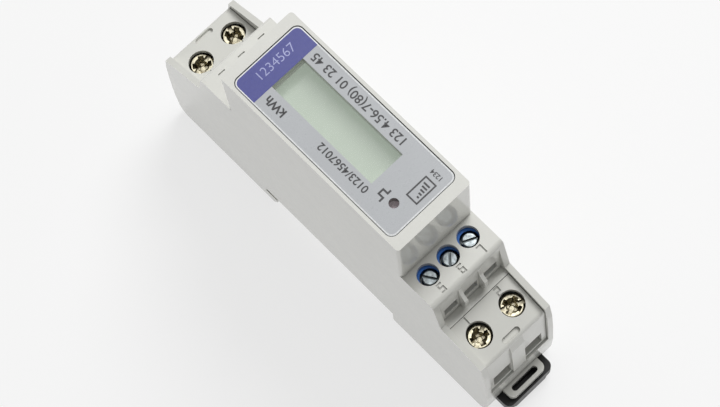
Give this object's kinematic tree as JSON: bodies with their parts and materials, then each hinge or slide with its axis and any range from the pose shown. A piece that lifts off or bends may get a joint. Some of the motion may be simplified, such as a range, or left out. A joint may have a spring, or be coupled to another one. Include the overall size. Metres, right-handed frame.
{
  "type": "electric energy meter",
  "caption": "One-module rail-mounted electricity meter with a display, screw terminals under sloped covers at both ends, small signal terminals and a sprung rail latch.",
  "frame": {"origin": "centre of the seat on the mounting rail, on the meter's middle plane", "axes": "+X to the right seen from the front, +Y along the meter to its top terminals, +Z out of the wall through the display; the meter lies on its back"},
  "size_m": [0.0176, 0.0905, 0.058],
  "materials": {
    "housing_plastic": "semi-gloss, fine moulded grain",
    "cover_plastic": "satin, fine moulded grain",
    "clear_lens": "polished clear plastic",
    "printed_film": "satin printed film with a blue title band",
    "display_glass": "grey-green display glass",
    "white_plastic": "satin",
    "light_guide": "milky",
    "tinned_wire": "tinned copper",
    "red_lamp": "tinted clear resin",
    "circuit_board": "green solder resist",
    "black_plastic": "satin",
    "crystal_can": "drawn can",
    "optocoupler_body": "matte",
    "capacitor_case": "potted case",
    "capacitor_can": "sleeved can",
    "varistor_coat": "dipped coating",
    "resistor_coat": "cement coating",
    "copper": "bare copper, slightly oxidised",
    "resistance_alloy": "bare alloy strip",
    "blue_plastic": "satin",
    "zinc_steel": "bright zinc plating",
    "nickel_steel": "nickel plating",
    "spring_steel": "bright spring steel"
  },
  "bodies": {
    "meter": {"housing_shell": "housing_plastic", "side_plate": "housing_plastic", "bottom_terminal_cover": "cover_plastic", "top_terminal_cover": "cover_plastic", "window_lens": "clear_lens", "face_film": "printed_film", "lcd_glass": "display_glass", "lcd_holder": "white_plastic", "lcd_backlight": "light_guide", "lcd_pins": "tinned_wire", "pulse_led": "red_lamp", "display_board": "circuit_board", "main_board": "circuit_board", "board_header": "black_plastic", "metering_chip": "black_plastic", "microcontroller": "black_plastic", "crystal": "crystal_can", "optocoupler": "optocoupler_body", "chip_resistors": "black_plastic", "film_capacitor": "capacitor_case", "reservoir_capacitor": "capacitor_can", "varistor": "varistor_coat", "fusible_resistor": "resistor_coat", "line_bar_top": "copper", "shunt": "resistance_alloy", "line_bar_bottom": "copper", "neutral_bar": "copper", "signal_block": "blue_plastic", "signal_contact_1": "tinned_wire", "signal_contact_2": "tinned_wire", "signal_contact_3": "tinned_wire", "latch_spring": "spring_steel"},
    "latch": {"rail_latch": "black_plastic"},
    "main_screw_1": {"terminal_screw_1": "nickel_steel"},
    "main_clamp_1": {"terminal_clamp_1": "zinc_steel"},
    "main_screw_2": {"terminal_screw_2": "nickel_steel"},
    "main_clamp_2": {"terminal_clamp_2": "zinc_steel"},
    "main_screw_3": {"terminal_screw_3": "nickel_steel"},
    "main_clamp_3": {"terminal_clamp_3": "zinc_steel"},
    "main_screw_4": {"terminal_screw_4": "nickel_steel"},
    "main_clamp_4": {"terminal_clamp_4": "zinc_steel"},
    "small_screw_1": {"signal_screw_1": "zinc_steel"},
    "small_clamp_1": {"signal_clamp_1": "zinc_steel"},
    "small_screw_2": {"signal_screw_2": "zinc_steel"},
    "small_clamp_2": {"signal_clamp_2": "zinc_steel"},
    "small_screw_3": {"signal_screw_3": "zinc_steel"},
    "small_clamp_3": {"signal_clamp_3": "zinc_steel"}
  },
  "joints": [
    {"name": "latch_slide", "type": "slide", "parent": "meter", "child": "latch", "axis": [0, -1, 0], "range_m": [0, 0.004], "stiffness_N_per_m": 1200, "springref_m": -0.0015, "deforming": ["latch_spring"]},
    {"name": "terminal_screw_1_turn", "type": "hinge", "parent": "meter", "child": "main_screw_1", "pos_m": [-0.00415, -0.0372, 0.02], "axis": [0, 0, 1], "range_deg": [-1800.01, 0]},
    {"name": "terminal_clamp_1_rise", "type": "slide", "parent": "meter", "child": "main_clamp_1", "axis": [0, 0, 1], "range_m": [0, 0.004]},
    {"name": "terminal_screw_2_turn", "type": "hinge", "parent": "meter", "child": "main_screw_2", "pos_m": [0.00415, -0.0372, 0.02], "axis": [0, 0, 1], "range_deg": [-1800.01, 0]},
    {"name": "terminal_clamp_2_rise", "type": "slide", "parent": "meter", "child": "main_clamp_2", "axis": [0, 0, 1], "range_m": [0, 0.004]},
    {"name": "terminal_screw_3_turn", "type": "hinge", "parent": "meter", "child": "main_screw_3", "pos_m": [-0.00415, 0.0372, 0.02], "axis": [0, 0, 1], "range_deg": [-1800.01, 0]},
    {"name": "terminal_clamp_3_rise", "type": "slide", "parent": "meter", "child": "main_clamp_3", "axis": [0, 0, 1], "range_m": [0, 0.004]},
    {"name": "terminal_screw_4_turn", "type": "hinge", "parent": "meter", "child": "main_screw_4", "pos_m": [0.00415, 0.0372, 0.02], "axis": [0, 0, 1], "range_deg": [-1800.01, 0]},
    {"name": "terminal_clamp_4_rise", "type": "slide", "parent": "meter", "child": "main_clamp_4", "axis": [0, 0, 1], "range_m": [0, 0.004]},
    {"name": "signal_screw_1_turn", "type": "hinge", "parent": "meter", "child": "small_screw_1", "pos_m": [-0.00495, -0.0257, 0.033], "axis": [0, 0, 1], "range_deg": [-1440.01, 0]},
    {"name": "signal_clamp_1_rise", "type": "slide", "parent": "meter", "child": "small_clamp_1", "axis": [0, 0, 1], "range_m": [0, 0.002]},
    {"name": "signal_screw_2_turn", "type": "hinge", "parent": "meter", "child": "small_screw_2", "pos_m": [0, -0.0257, 0.033], "axis": [0, 0, 1], "range_deg": [-1440.01, 0]},
    {"name": "signal_clamp_2_rise", "type": "slide", "parent": "meter", "child": "small_clamp_2", "axis": [0, 0, 1], "range_m": [0, 0.002]},
    {"name": "signal_screw_3_turn", "type": "hinge", "parent": "meter", "child": "small_screw_3", "pos_m": [0.00495, -0.0257, 0.033], "axis": [0, 0, 1], "range_deg": [-1440.01, 0]},
    {"name": "signal_clamp_3_rise", "type": "slide", "parent": "meter", "child": "small_clamp_3", "axis": [0, 0, 1], "range_m": [0, 0.002]}
  ],
  "couplings": [
    {"joint": "terminal_screw_1_turn", "follows": "terminal_clamp_1_rise", "rad_per_m": -7854},
    {"joint": "terminal_screw_2_turn", "follows": "terminal_clamp_2_rise", "rad_per_m": -7854},
    {"joint": "terminal_screw_3_turn", "follows": "terminal_clamp_3_rise", "rad_per_m": -7854},
    {"joint": "terminal_screw_4_turn", "follows": "terminal_clamp_4_rise", "rad_per_m": -7854},
    {"joint": "signal_screw_1_turn", "follows": "signal_clamp_1_rise", "rad_per_m": -12566},
    {"joint": "signal_screw_2_turn", "follows": "signal_clamp_2_rise", "rad_per_m": -12566},
    {"joint": "signal_screw_3_turn", "follows": "signal_clamp_3_rise", "rad_per_m": -12566}
  ]
}
